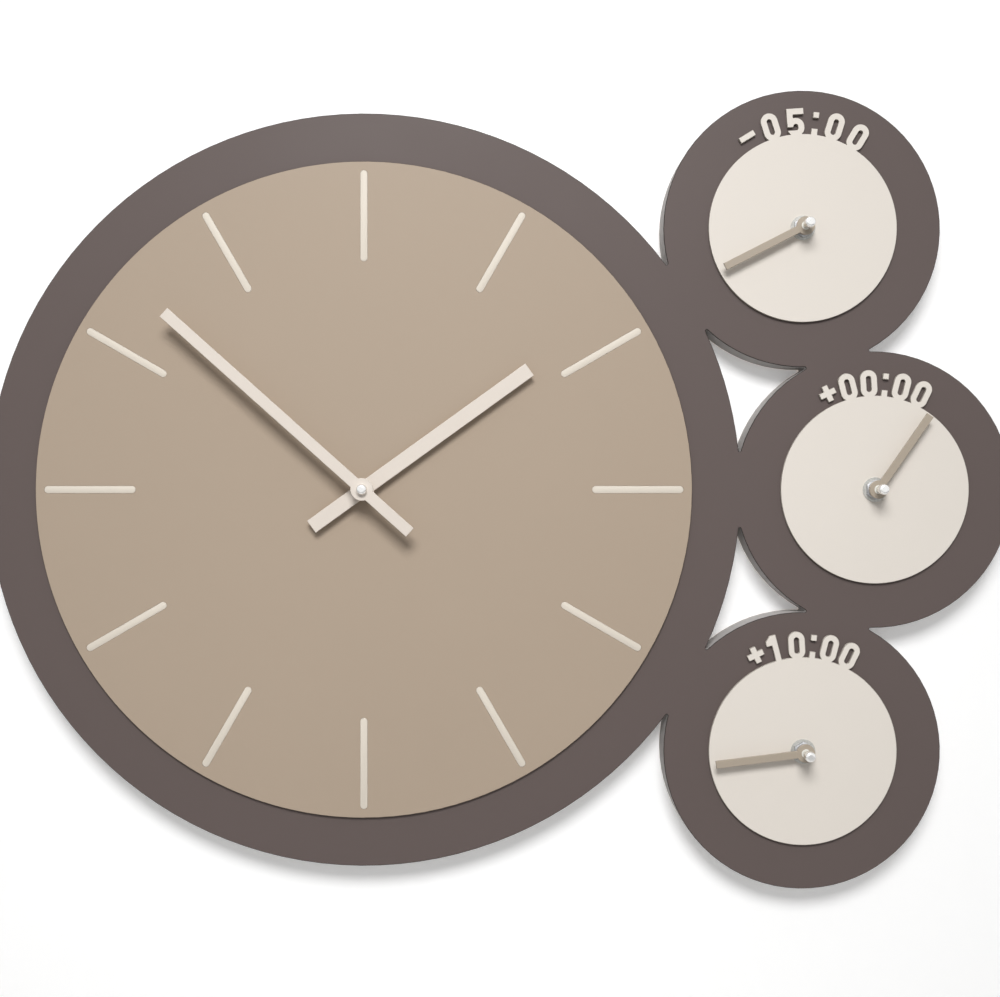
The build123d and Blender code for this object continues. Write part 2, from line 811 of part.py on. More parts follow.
def along_coil(start, length, outer, bore_width=0, bore_thickness=0, bore_radius=0):
    """A round stretch along the coil's axis, from a distance above its lower end."""
    bottom = coil_middle - bobbin_length / 2
    with BuildSketch(Plane.XY.offset(bottom + start)) as face:
        with Locations((coil_offset, -core_middle)):
            Circle(outer)
            if bore_radius:
                Circle(bore_radius, mode=Mode.SUBTRACT)
            else:
                Rectangle(bore_width, bore_thickness, mode=Mode.SUBTRACT)
    extrude(face.sketch, amount=length)


core_hole = (core_width + running_clearance * 2, core_thickness + running_clearance * 2)
with BuildPart() as coil_bobbin:
    along_coil(0, bobbin_length, bobbin_hub_radius, *core_hole)
    for start in (0, bobbin_length - bobbin_flange):
        along_coil(start, bobbin_flange, bobbin_radius, *core_hole)
finish_copies(coil_bobbin, "coil_bobbins")

with BuildPart() as coil_winding:
    along_coil(bobbin_flange, bobbin_length - bobbin_flange * 2, winding_radius,
               bore_radius=bobbin_hub_radius + touch)
finish_copies(coil_winding, "coil_windings")

with BuildPart() as circuit_board:
    with BuildSketch(facing(front_wall - board_thickness)):
        with Locations((-board_offset, board_rise)):
            Rectangle(board_width, board_height)
    extrude(amount=board_thickness)
    with BuildSketch(facing(front_wall - board_thickness - chip_height)):
        with Locations((-board_offset, board_rise)):
            Rectangle(chip_size, chip_size)
    extrude(amount=chip_height)
finish_copies(circuit_board, "circuit_boards")
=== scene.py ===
import json
import math
import bmesh
import bpy
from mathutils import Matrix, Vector


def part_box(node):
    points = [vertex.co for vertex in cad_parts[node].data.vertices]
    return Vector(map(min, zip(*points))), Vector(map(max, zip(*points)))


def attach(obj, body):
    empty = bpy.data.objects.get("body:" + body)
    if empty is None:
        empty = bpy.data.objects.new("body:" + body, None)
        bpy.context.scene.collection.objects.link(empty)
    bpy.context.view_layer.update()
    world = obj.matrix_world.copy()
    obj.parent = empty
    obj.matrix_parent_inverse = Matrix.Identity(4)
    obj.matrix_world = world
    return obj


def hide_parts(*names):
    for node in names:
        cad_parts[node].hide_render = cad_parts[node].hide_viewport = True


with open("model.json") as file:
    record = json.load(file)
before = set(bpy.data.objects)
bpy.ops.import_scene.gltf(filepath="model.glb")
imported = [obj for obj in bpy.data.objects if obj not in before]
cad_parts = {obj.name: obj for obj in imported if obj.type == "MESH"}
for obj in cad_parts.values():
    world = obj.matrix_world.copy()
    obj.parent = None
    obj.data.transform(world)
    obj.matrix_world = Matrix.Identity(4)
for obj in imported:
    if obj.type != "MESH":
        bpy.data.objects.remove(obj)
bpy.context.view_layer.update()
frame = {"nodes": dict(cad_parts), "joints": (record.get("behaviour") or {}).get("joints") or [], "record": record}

nodes = frame["nodes"]
joints = {joint["name"]: joint for joint in frame["joints"]}
dials = ("main", "upper", "middle", "lower")
zones = dials[1:]

# Shared places, read from the frame. Depth grows towards the reader, along -Y.
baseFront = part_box("front_panel")[0].y
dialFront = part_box("main_dial")[0].y
centre = {dial: Vector(joints[f"{dial}_minute_turn"]["pos_m"]) for dial in dials}
print("frame:", len(nodes), "nodes, base front at", round(baseFront, 4))


# Material building blocks
def newMaterial(name):
    material = bpy.data.materials.new(name)
    material.use_nodes = True
    tree = material.node_tree
    return material, tree, tree.nodes["Principled BSDF"]


def feed(tree, socket, value):
    # an input takes either another socket or a plain value
    if isinstance(value, bpy.types.NodeSocket):
        tree.links.new(value, socket)
    else:
        socket.default_value = value


def calculate(tree, operation, *values):
    node = tree.nodes.new("ShaderNodeMath")
    node.operation = operation
    for socket, value in zip(node.inputs, values):
        feed(tree, socket, value)
    return node.outputs["Value"]


def objectSpace(tree):
    return tree.nodes.new("ShaderNodeTexCoord").outputs["Object"]


def noiseField(tree, place, scale, detail, roughness):
    noise = tree.nodes.new("ShaderNodeTexNoise")
    noise.inputs["Scale"].default_value = scale
    noise.inputs["Detail"].default_value = detail
    noise.inputs["Roughness"].default_value = roughness
    tree.links.new(place, noise.inputs["Vector"])
    return noise.outputs["Fac"]


def stretched(tree, place, scale):
    # a stretched pattern space, for brushed or drawn metal
    mapping = tree.nodes.new("ShaderNodeMapping")
    mapping.inputs["Scale"].default_value = scale
    tree.links.new(place, mapping.inputs["Vector"])
    return mapping.outputs["Vector"]


def remap(tree, value, fromLow, fromHigh, toLow, toHigh):
    node = tree.nodes.new("ShaderNodeMapRange")
    limits = {"From Min": fromLow, "From Max": fromHigh, "To Min": toLow, "To Max": toHigh}
    for name, number in limits.items():
        node.inputs[name].default_value = number
    tree.links.new(value, node.inputs["Value"])
    return node.outputs["Result"]


def blendColours(tree, factor, first, second):
    node = tree.nodes.new("ShaderNodeMix")
    node.data_type = "RGBA"
    colourInputs = [socket for socket in node.inputs if socket.type == "RGBA"]
    for socket, value in zip(colourInputs, (first, second)):
        feed(tree, socket, value if isinstance(value, bpy.types.NodeSocket) else (*value, 1))
    feed(tree, next(s for s in node.inputs if s.name == "Factor" and s.type == "VALUE"), factor)
    return next(socket for socket in node.outputs if socket.type == "RGBA")


def darker(colour, share):
    return [channel * share for channel in colour]


def shades(tree, factor, base, contrast):
    # one colour that drifts a little lighter and darker
    light = [min(1, channel * (1 + contrast)) for channel in base]
    return blendColours(tree, factor, darker(base, 1 - contrast), light)


def bump(tree, height, strength, distance):
    node = tree.nodes.new("ShaderNodeBump")
    node.inputs["Strength"].default_value = strength
    node.inputs["Distance"].default_value = distance
    tree.links.new(height, node.inputs["Height"])
    return node.outputs["Normal"]


def facingShare(tree):
    # 1 on faces square to the reading direction, 0 on walls
    geometry = tree.nodes.new("ShaderNodeNewGeometry")
    split = tree.nodes.new("ShaderNodeSeparateXYZ")
    tree.links.new(geometry.outputs["True Normal"], split.inputs["Vector"])
    return calculate(tree, "ABSOLUTE", split.outputs["Y"])


midNoise = (0.3, 0.7)  # the range that most of a noise field falls in


# Lacquer on fibreboard: fine orange peel, faint specks, and a painted shade line darkening the broken edge
lacquer = {"peelScale": 420, "peelDetail": 2, "peelHarshness": 0.4, "peelHeight": 0.00003,
           "peelStrength": 0.25, "driftScale": 7, "driftDetail": 3, "driftHarshness": 0.6, "drift": 0.02,
           "speckScale": 2600, "speckDetail": 1, "speckHarshness": 0.5, "speckRange": (0.68, 0.8),
           "speckAmount": 0.06, "speckShade": 0.55, "roughness": 0.5, "roughnessSwing": 0.05,
           "wallRoughness": 0.3, "wallRoughnessRange": (0, 0.3), "specular": 0.2,
           "wallRange": (0.0, 0.15), "edgeShadeStart": (0.05, 0.2), "edgeShadeEnd": (0.93, 0.995)}


def lacquerMaterial(name, colour, paintedEdgeShade=None, wallColour=None):
    material, tree, shader = newMaterial(name)
    place = objectSpace(tree)
    cloud = noiseField(tree, place, lacquer["driftScale"], lacquer["driftDetail"], lacquer["driftHarshness"])
    speck = noiseField(tree, place, lacquer["speckScale"], lacquer["speckDetail"], lacquer["speckHarshness"])
    tone = shades(tree, cloud, colour, lacquer["drift"])
    specks = remap(tree, speck, *lacquer["speckRange"], 0, lacquer["speckAmount"])
    tone = blendColours(tree, specks, tone, darker(colour, lacquer["speckShade"]))
    facing = facingShare(tree)
    if wallColour:
        tone = blendColours(tree, remap(tree, facing, *lacquer["wallRange"], 1, 0), tone, wallColour)
    # painted shade: the bevel strips of a broken edge get a darker colour, which stands in for the shade along the
    # edge
    if paintedEdgeShade:
        low = remap(tree, facing, *lacquer["edgeShadeStart"], 0, 1)
        high = remap(tree, facing, *lacquer["edgeShadeEnd"], 1, 0)
        tone = blendColours(tree, calculate(tree, "MULTIPLY", low, high), tone, paintedEdgeShade)
    tree.links.new(tone, shader.inputs["Base Color"])
    shader.inputs["Specular IOR Level"].default_value = lacquer["specular"]
    middle, swing = lacquer["roughness"], lacquer["roughnessSwing"]
    rough = calculate(tree, "ADD", remap(tree, cloud, *midNoise, middle - swing, middle + swing),
                      remap(tree, facing, *lacquer["wallRoughnessRange"], lacquer["wallRoughness"], 0))
    tree.links.new(rough, shader.inputs["Roughness"])
    peel = noiseField(tree, place, lacquer["peelScale"], lacquer["peelDetail"], lacquer["peelHarshness"])
    tree.links.new(bump(tree, peel, lacquer["peelStrength"], lacquer["peelHeight"]), shader.inputs["Normal"])
    return material


# The back sheet: lacquered walls, bare fibreboard on its back
board = {"cloudScale": 9, "cloudDetail": 3, "cloudHarshness": 0.6, "drift": 0.03,
         "fibreStretch": (1, 6, 1), "fibreScale": 900, "fibreDetail": 4, "fibreHarshness": 0.75,
         "fibreContrast": 0.28, "flakeStretch": (1, 4, 1), "flakeScale": 160, "flakeDetail": 3,
         "flakeHarshness": 0.65, "flakeRange": (0.35, 0.7), "flakeAmount": 0.55, "flakeShade": 0.68,
         "backRange": (0.5, 0.9), "paintedRoughness": 0.7, "bareRoughness": 0.85,
         "bumpStrength": 0.3, "bumpHeight": 0.00008}


def boardMaterial(name, lacquerColour, fibreColour):
    material, tree, shader = newMaterial(name)
    place = objectSpace(tree)
    cloud = noiseField(tree, place, board["cloudScale"], board["cloudDetail"], board["cloudHarshness"])
    fibre = noiseField(tree, stretched(tree, place, board["fibreStretch"]), board["fibreScale"],
                       board["fibreDetail"], board["fibreHarshness"])
    painted = shades(tree, cloud, lacquerColour, board["drift"])
    bare = shades(tree, fibre, fibreColour, board["fibreContrast"])
    flake = noiseField(tree, stretched(tree, place, board["flakeStretch"]), board["flakeScale"],
                       board["flakeDetail"], board["flakeHarshness"])
    flakes = remap(tree, flake, *board["flakeRange"], 0, board["flakeAmount"])
    bare = blendColours(tree, flakes, bare, darker(fibreColour, board["flakeShade"]))
    isBack = remap(tree, facingShare(tree), *board["backRange"], 0, 1)
    tree.links.new(blendColours(tree, isBack, painted, bare), shader.inputs["Base Color"])
    shader.inputs["Specular IOR Level"].default_value = lacquer["specular"]
    tree.links.new(remap(tree, isBack, 0, 1, board["paintedRoughness"], board["bareRoughness"]),
                   shader.inputs["Roughness"])
    tree.links.new(bump(tree, fibre, board["bumpStrength"], board["bumpHeight"]), shader.inputs["Normal"])
    return material


metal = {"detail": 3, "harshness": 0.6, "cloudScale": 60, "smoothShare": 0.8, "roughShare": 1.25,
         "bumpHeight": 0.00002}


def metalMaterial(name, colour, roughness, grain=(1, 1, 1), grainScale=900, grainStrength=0.1, tarnish=0.1):
    material, tree, shader = newMaterial(name)
    shader.inputs["Metallic"].default_value = 1
    place = objectSpace(tree)
    lines = noiseField(tree, stretched(tree, place, grain), grainScale, metal["detail"], metal["harshness"])
    cloud = noiseField(tree, place, metal["cloudScale"], metal["detail"], metal["harshness"])
    tree.links.new(shades(tree, cloud, colour, tarnish), shader.inputs["Base Color"])
    tree.links.new(remap(tree, lines, *midNoise, roughness * metal["smoothShare"],
                         roughness * metal["roughShare"]), shader.inputs["Roughness"])
    tree.links.new(bump(tree, lines, grainStrength, metal["bumpHeight"]), shader.inputs["Normal"])
    return material


plastic = {"grainDetail": 3, "grainHarshness": 0.6, "cloudScale": 30, "cloudDetail": 2, "cloudHarshness": 0.5,
           "smoothShare": 0.85, "roughShare": 1.15, "bumpHeight": 0.00003}


def plasticMaterial(name, colour, roughness, grainScale=1800, grainStrength=0.25, drift=0.05):
    material, tree, shader = newMaterial(name)
    place = objectSpace(tree)
    grain = noiseField(tree, place, grainScale, plastic["grainDetail"], plastic["grainHarshness"])
    cloud = noiseField(tree, place, plastic["cloudScale"], plastic["cloudDetail"], plastic["cloudHarshness"])
    tree.links.new(shades(tree, cloud, colour, drift), shader.inputs["Base Color"])
    tree.links.new(remap(tree, grain, *midNoise, roughness * plastic["smoothShare"],
                         roughness * plastic["roughShare"]), shader.inputs["Roughness"])
    tree.links.new(bump(tree, grain, grainStrength, plastic["bumpHeight"]), shader.inputs["Normal"])
    return material


# Satin paint on a thin metal hand, with a slightly darker cut edge
paint = {"drift": 0.02, "cloudScale": 25, "cloudDetail": 3, "cloudHarshness": 0.6, "grainScale": 1500,
         "grainDetail": 2, "grainHarshness": 0.5, "edgeRange": (0.0, 0.3), "edgeAmount": 0.5,
         "edgeShade": 0.6, "smoothest": 0.36, "roughest": 0.45, "bumpStrength": 0.15, "bumpHeight": 0.00002}


def paintMaterial(name, colour):
    material, tree, shader = newMaterial(name)
    place = objectSpace(tree)
    cloud = noiseField(tree, place, paint["cloudScale"], paint["cloudDetail"], paint["cloudHarshness"])
    grain = noiseField(tree, place, paint["grainScale"], paint["grainDetail"], paint["grainHarshness"])
    tone = shades(tree, cloud, colour, paint["drift"])
    cutEdge = remap(tree, facingShare(tree), *paint["edgeRange"], paint["edgeAmount"], 0)
    tone = blendColours(tree, cutEdge, tone, darker(colour, paint["edgeShade"]))
    tree.links.new(tone, shader.inputs["Base Color"])
    tree.links.new(remap(tree, cloud, *midNoise, paint["smoothest"], paint["roughest"]),
                   shader.inputs["Roughness"])
    tree.links.new(bump(tree, grain, paint["bumpStrength"], paint["bumpHeight"]), shader.inputs["Normal"])
    return material


finishes = {
    # a lacquer takes its face colour, then the painted edge shade for its broken edge, then its wall colour
    "brown_lacquer": lacquerMaterial("brownLacquer", (0.121, 0.095, 0.089), (0.025, 0.02, 0.018),
                                     (0.435, 0.415, 0.405)),
    "brown_edge": boardMaterial("backBoard", (0.40, 0.385, 0.375), (0.30, 0.21, 0.13)),
    "sand_lacquer": lacquerMaterial("sandLacquer", (0.42, 0.336, 0.259), (0.10, 0.08, 0.06),
                                    (0.22, 0.175, 0.135)),
    "cream_lacquer": lacquerMaterial("creamLacquer", (0.77, 0.717, 0.653), (0.50, 0.46, 0.41),
                                     (0.40, 0.365, 0.32)),
    "cream_inlay": lacquerMaterial("creamInlay", (0.725, 0.66, 0.57)),
    "cream_hand": paintMaterial("creamHandPaint", (0.715, 0.645, 0.575)),
    "tan_hand": paintMaterial("tanHandPaint", (0.40, 0.338, 0.268)),
    "chrome_cap": metalMaterial("polishedCap", (0.88, 0.875, 0.865), 0.2, (1, 1, 1), 500, 0.02, 0.02),
    "zinc_steel": metalMaterial("zincPlate", (0.45, 0.455, 0.47), 0.58, (1, 1, 14), 500),
    "zinc_washer": metalMaterial("zincWasher", (0.55, 0.545, 0.52), 0.75, (1, 1, 1), 900),
    "nickel_brass": metalMaterial("nickelPlate", (0.72, 0.70, 0.66), 0.25, (1, 1, 1), 900),
    "contact_steel": metalMaterial("contactStrip", (0.66, 0.66, 0.64), 0.28, (12, 1, 1), 500),
    "white_plastic": plasticMaterial("whiteBushing", (0.83, 0.83, 0.80), 0.4, 900, 0.1, 0.02),
    "white_gear": plasticMaterial("gearPlastic", (0.80, 0.79, 0.74), 0.42, 900, 0.1, 0.02),
    "black_plastic": plasticMaterial("casePlastic", (0.016, 0.016, 0.017), 0.5, 1500, 0.5),
    "knob_plastic": plasticMaterial("knobPlastic", (0.03, 0.03, 0.032), 0.42),
    "black_rubber": plasticMaterial("gasketRubber", (0.018, 0.018, 0.018), 0.75, 700, 0.4),
    "cell_jacket": plasticMaterial("cellJacket", (0.05, 0.075, 0.10), 0.3, 400, 0.05),
    "cell_band": plasticMaterial("cellBand", (0.62, 0.62, 0.60), 0.3, 400, 0.05),
    "rotor_magnet": metalMaterial("sinteredMagnet", (0.16, 0.16, 0.165), 0.5),
    "stator_iron": metalMaterial("statorIron", (0.55, 0.55, 0.56), 0.36, (1, 1, 10), 400),
    "copper_wire": metalMaterial("enamelledWire", (0.72, 0.30, 0.12), 0.3, (1, 1, 60), 400, 0.8),
    "board_green": plasticMaterial("solderMask", (0.03, 0.16, 0.06), 0.35, 500, 0.2),
}
slotOf = {part["node"]: part["material_slot"] for part in frame["record"]["subparts"]}
bodyOf = {node: body for body, held in frame["record"]["behaviour"]["bodies"].items() for node in held}


def dress(piece, slotName):
    piece.data.materials.clear()
    piece.data.materials.append(finishes[slotName])


for name, node in nodes.items():
    dress(node, slotOf[name])
print("materials:", len(finishes), "finishes on", len(nodes), "nodes")


# Mesh building blocks
smoothing = {"angle": 40, "softenedAngle": 18}  # degrees, edges sharper than this stay crisp


def smoothByAngle(piece, degrees):
    mesh = piece.data
    mesh.polygons.foreach_set("use_smooth", [True] * len(mesh.polygons))
    mesh.set_sharp_from_angle(angle=math.radians(degrees))


def addPiece(name, mesh):
    piece = bpy.data.objects.new(name, mesh)
    bpy.context.scene.collection.objects.link(piece)
    return piece


def finishPiece(piece, slotName, *replaced, body="base", smooth=smoothing["angle"]):
    if not piece.data.materials:
        dress(piece, slotName)
    smoothByAngle(piece, smooth)
    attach(piece, body)
    if replaced:
        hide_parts(*replaced)


def evaluatedMesh(piece):
    # the mesh that a piece's modifiers make
    bpy.context.view_layer.update()
    depsgraph = bpy.context.evaluated_depsgraph_get()
    return bpy.data.meshes.new_from_object(piece.evaluated_get(depsgraph), depsgraph=depsgraph)


def settleModifiers(piece):
    mesh = evaluatedMesh(piece)
    piece.modifiers.clear()
    piece.data = mesh


def removePiece(piece):
    bpy.data.objects.remove(piece, do_unlink=True)


def circle(radius, depth, steps):
    # a ring of points about the reading axis, radius may follow the angle
    ring = []
    for n in range(steps):
        angle = 2 * math.pi * n / steps
        reach = radius(angle) if callable(radius) else radius
        level = depth(angle) if callable(depth) else depth
        ring.append((reach * math.cos(angle), -level, reach * math.sin(angle)))
    return ring


def skin(name, rings, closed=False):
    # a shell through rings of points: closed joins the last ring to the first, as in a tube
    steps = len(rings[0])
    faces = []
    for low in range(len(rings) - (0 if closed else 1)):
        high = (low + 1) % len(rings)
        for n in range(steps):
            m = (n + 1) % steps
            faces.append((low * steps + n, low * steps + m, high * steps + m, high * steps + n))
    if not closed:
        last = (len(rings) - 1) * steps
        faces += [tuple(range(steps)), tuple(range(last, last + steps))]
    mesh = bpy.data.meshes.new(name)
    mesh.from_pydata([point for ring in rings for point in ring], [], faces)
    shell = bmesh.new()
    shell.from_mesh(mesh)
    bmesh.ops.recalc_face_normals(shell, faces=shell.faces)
    shell.to_mesh(mesh)
    shell.free()
    return mesh


# Merging and bevelling of CAD meshes: metres, degrees and square metres. Larger faces than flatArea are flat.
softening = {"mergeDistance": 1e-6, "flatAngle": 1, "bevelAngle": 35, "segments": 2, "flatArea": 6e-5,
             "flatCorners": 4}


def softened(name, nodeName, width):
    # a merged copy of a CAD node with its sharp edges broken
    mesh = nodes[nodeName].data.copy()
    shell = bmesh.new()
    shell.from_mesh(mesh)
    bmesh.ops.remove_doubles(shell, verts=shell.verts, dist=softening["mergeDistance"])
    bmesh.ops.dissolve_limit(shell, angle_limit=math.radians(softening["flatAngle"]), verts=shell.verts,
                             edges=shell.edges)
    shell.to_mesh(mesh)
    shell.free()
    piece = addPiece(name, mesh)
    bevel = piece.modifiers.new("brokenEdges", "BEVEL")
    bevel.width, bevel.segments = width, softening["segments"]
    bevel.limit_method, bevel.angle_limit = "ANGLE", math.radians(softening["bevelAngle"])
    settleModifiers(piece)
    finishPiece(piece, slotOf[nodeName], nodeName, body=bodyOf[nodeName], smooth=smoothing["softenedAngle"])
    for face in piece.data.polygons:
        if len(face.vertices) > softening["flatCorners"] or face.area > softening["flatArea"]:
            face.use_smooth = False


# Geometry Nodes building blocks
socketKinds = {"geometry": "NodeSocketGeometry", "object": "NodeSocketObject",
               "material": "NodeSocketMaterial", "float": "NodeSocketFloat", "int": "NodeSocketInt"}


def newTree(name, inputs):
    tree = bpy.data.node_groups.new(name, "GeometryNodeTree")
    for label, kind in inputs.items():
        tree.interface.new_socket(label, in_out="INPUT", socket_type=socketKinds[kind])
    tree.interface.new_socket("Geometry", in_out="OUTPUT", socket_type=socketKinds["geometry"])
    given = tree.nodes.new("NodeGroupInput")
    return tree, {socket.name: socket for socket in given.outputs if socket.name}


def addNode(tree, kind, links=(), **settings):
    # links holds pairs of an input's name or number and the socket or value that goes in
    node = tree.nodes.new(kind)
    for key, value in settings.items():
        setattr(node, key, value)
    for key, value in links:
        feed(tree, node.inputs[key], value)
    return node


def closeTree(tree, geometry, material):
    real = addNode(tree, "GeometryNodeRealizeInstances", [("Geometry", geometry)])
    painted = addNode(tree, "GeometryNodeSetMaterial",
                      [("Geometry", real.outputs[0]), ("Material", material)])
    out = tree.nodes.new("NodeGroupOutput")
    tree.links.new(painted.outputs[0], out.inputs[0])


def grow(name, tree, values, points=((0, 0, 0),)):
    # a piece that a tree makes on the given points
    mesh = bpy.data.meshes.new(name)
    mesh.from_pydata(points, [], [])
    piece = addPiece(name, mesh)
    modifier = piece.modifiers.new("shape", "NODES")
    modifier.node_group = tree
    for item in tree.interface.items_tree:
        if item.in_out == "INPUT" and item.name in values:
            modifier[item.identifier] = values[item.name]
    settleModifiers(piece)
    return piece


def makeCopyTree():
    # one shape at every point
    tree, given = newTree("copies", {"Geometry": "geometry", "Shape": "object", "Material": "material"})
    shape = addNode(tree, "GeometryNodeObjectInfo", [("Object", given["Shape"])])
    copies = addNode(tree, "GeometryNodeInstanceOnPoints",
                     [("Points", given["Geometry"]), ("Instance", shape.outputs["Geometry"])])
    closeTree(tree, copies.outputs[0], given["Material"])
    return tree


copyTree = makeCopyTree()
dialPlaces = [(centre[dial].x, 0, centre[dial].z) for dial in dials]


def copied(name, mesh, slotName, places, *replaced):
    # copies of one mesh at several places, as one piece on the base
    shape = addPiece(name + "Shape", mesh)
    piece = grow(name, copyTree, {"Shape": shape, "Material": finishes[slotName]}, places)
    removePiece(shape)
    finishPiece(piece, slotName, *replaced)


# Index bars: round-ended, flush with the dial, their edges just broken
indexBar = {"count": 12, "inner": 0.130, "outer": 0.182, "width": 0.0041, "depth": 0.001, "edge": 0.0002,
            "midEdgeShare": 0.3, "endSteps": 10}


def slotRing(length, width, depth):
    # the outline of a round-ended bar along X
    ring = []
    for side in (1, -1):
        for n in range(indexBar["endSteps"] + 1):
            angle = math.pi * (n / indexBar["endSteps"] - 0.5)
            ring.append((side * (length / 2 - width / 2 + width / 2 * math.cos(angle)), -depth,
                         side * width / 2 * math.sin(angle)))
    return ring


def makeIndexTree():
    tree, given = newTree("indexRing", {"Geometry": "geometry", "Bar": "object", "Material": "material",
                                        "Count": "int", "Radius": "float", "Depth": "float"})
    bar = addNode(tree, "GeometryNodeObjectInfo", [("Object", given["Bar"])])
    ring = addNode(tree, "GeometryNodeMeshCircle",
                   [("Vertices", given["Count"]), ("Radius", given["Radius"])])
    upright = addNode(tree, "GeometryNodeTransform", [("Geometry", ring.outputs[0]),
                                                      ("Rotation", (math.pi / 2, 0, 0))])
    place = addNode(tree, "GeometryNodeInputPosition")
    outwards = addNode(tree, "FunctionNodeAlignRotationToVector", [("Vector", place.outputs[0])],
                       axis="X", pivot_axis="Y")
    bars = addNode(tree, "GeometryNodeInstanceOnPoints",
                   [("Points", upright.outputs[0]), ("Instance", bar.outputs["Geometry"]),
                    ("Rotation", outwards.outputs[0])])
    away = addNode(tree, "ShaderNodeCombineXYZ", [("Y", given["Depth"])])
    moved = addNode(tree, "GeometryNodeTransform", [("Geometry", bars.outputs[0]),
                                                    ("Translation", away.outputs[0])])
    closeTree(tree, moved.outputs[0], given["Material"])
    return tree


def makeIndexBars():
    length, width = indexBar["outer"] - indexBar["inner"], indexBar["width"]
    edge, depth = indexBar["edge"], indexBar["depth"]
    middle = edge * indexBar["midEdgeShare"]
    rings = [slotRing(length, width, -depth), slotRing(length, width, -edge),
             slotRing(length - middle * 2, width - middle * 2, -middle),
             slotRing(length - edge * 2, width - edge * 2, 0)]
    bar = addPiece("indexBarShape", skin("indexBar", rings))
    values = {"Bar": bar, "Material": finishes["cream_inlay"], "Count": indexBar["count"],
              "Radius": (indexBar["outer"] + indexBar["inner"]) / 2, "Depth": dialFront}
    piece = grow("indexBars", makeIndexTree(), values)
    removePiece(bar)
    finishPiece(piece, "cream_inlay", "index_bars")


makeIndexBars()

# Clamp nuts: hexagons with turned chamfers
nut = {"acrossFlats": 0.010, "bore": 0.00392, "height": 0.002, "washer": 0.0006, "steps": 72,
       "chamferStart": 0.00485, "chamferSlope": 0.58, "boreChamfer": 0.0003}


def makeNuts():
    steps, half, bore = nut["steps"], nut["acrossFlats"] / 2, nut["bore"]
    back = -dialFront + nut["washer"]
    front = back + nut["height"]

    def flats(angle):
        return half / math.cos((angle + math.pi / 6) % (math.pi / 3) - math.pi / 6)

    def shoulder(angle):
        return front - max(0, flats(angle) - nut["chamferStart"]) * nut["chamferSlope"]

    rings = [circle(bore, back, steps), circle(flats, back, steps), circle(flats, shoulder, steps),
             circle(nut["chamferStart"], front, steps), circle(bore + nut["boreChamfer"], front, steps),
             circle(bore, front - nut["boreChamfer"], steps)]
    copied("clampNuts", skin("nut", rings, closed=True), "zinc_steel", dialPlaces, "clamp_nuts")


makeNuts()

# Threaded bushings: a flange inside the case and a fine thread up to the front
bushing = {"flangeRadius": 0.0055, "flangeThickness": 0.001, "radius": 0.0039, "bore": 0.00255,
           "pitch": 0.00075, "threadDepth": 0.00035, "steps": 48, "rowsPerTurn": 6, "lead": 0.0004,
           "lastRowShare": 0.35}


def makeBushings():
    low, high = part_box("threaded_bushings")
    rear, front = -high.y, -low.y
    steps, radius, bore = bushing["steps"], bushing["radius"], bushing["bore"]
    start = rear + bushing["flangeThickness"]
    pitch = bushing["pitch"]
    rows = round((front - start) / pitch * bushing["rowsPerTurn"])
    rings = [circle(bore, rear, steps), circle(bushing["flangeRadius"], rear, steps),
             circle(bushing["flangeRadius"], start, steps)]
    for row in range(rows + 1):
        depth = start + (front - start) * row / rows
        fade = min(1, (depth - start) / pitch, (front - depth) / bushing["lead"] + bushing["lastRowShare"])

        def crest(angle):
            phase = ((depth - start) / pitch - angle / (2 * math.pi)) % 1
            return radius - bushing["threadDepth"] * abs(2 * phase - 1) * fade

        rings.append(circle(crest, depth, steps))
    rings += [circle(bore + bushing["lead"], front, steps), circle(bore, front - bushing["lead"], steps)]
    copied("threadedBushings", skin("bushing", rings, closed=True), "white_plastic", dialPlaces,
           "threaded_bushings")


makeBushings()

# Hanger screws: domed heads with a cross recess
screw = {"headRadius": 0.0026, "headHeight": 0.0012, "shankRadius": 0.0015, "shankLength": 0.004,
         "crossWidth": 0.0007, "crossSpan": 0.0028, "crossDepth": 0.0007, "steps": 40, "spacing": 0.032,
         "seat": 0.0015, "pointStartShare": 0.7, "pointShare": 0.25, "cutterRiseShare": 0.1,
         "crossTaper": 0.75}
screwDomeShares = [(0.62, 0.0), (0.84, 0.12), (0.97, 0.4), (1.0, 0.75), (1.0, 1.0)]  # of radius and height


def makeScrews():
    steps, radius, seat = screw["steps"], screw["headRadius"], screw["seat"]
    top = seat - screw["headHeight"]
    rings = [circle(radius * r, top + screw["headHeight"] * h, steps) for r, h in screwDomeShares]
    rings += [circle(screw["shankRadius"], seat, steps),
              circle(screw["shankRadius"], seat + screw["shankLength"] * screw["pointStartShare"], steps),
              circle(screw["shankRadius"] * screw["pointShare"], seat + screw["shankLength"], steps)]
    head = addPiece("screwShape", skin("screw", rings))
    cutters = []
    for across in (screw["crossWidth"], screw["crossSpan"]):
        along = screw["crossWidth"] + screw["crossSpan"] - across
        wide = [(x * across / 2, -top + seat * screw["cutterRiseShare"], z * along / 2)
                for x, z in ((-1, -1), (1, -1), (1, 1), (-1, 1))]
        deep = [(x * screw["crossTaper"], -top - screw["crossDepth"], z * screw["crossTaper"])
                for x, _, z in wide]
        cutter = addPiece("crossCutter", skin("cutter", [wide, deep]))
        cut = head.modifiers.new("cross", "BOOLEAN")
        cut.operation, cut.object, cut.solver = "DIFFERENCE", cutter, "EXACT"
        cutters.append(cutter)
    mesh = evaluatedMesh(head)
    for piece in cutters + [head]:
        removePiece(piece)
    low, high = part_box("hanger_screws")
    middle = (low.z + high.z) / 2
    outer = (low.x + radius, high.x - radius)
    places = [(x, 0, middle) for end, side in zip(outer, (1, -1))
              for x in (end, end + side * screw["spacing"])]
    copied("hangerScrews", mesh, "zinc_steel", places, "hanger_screws")


makeScrews()

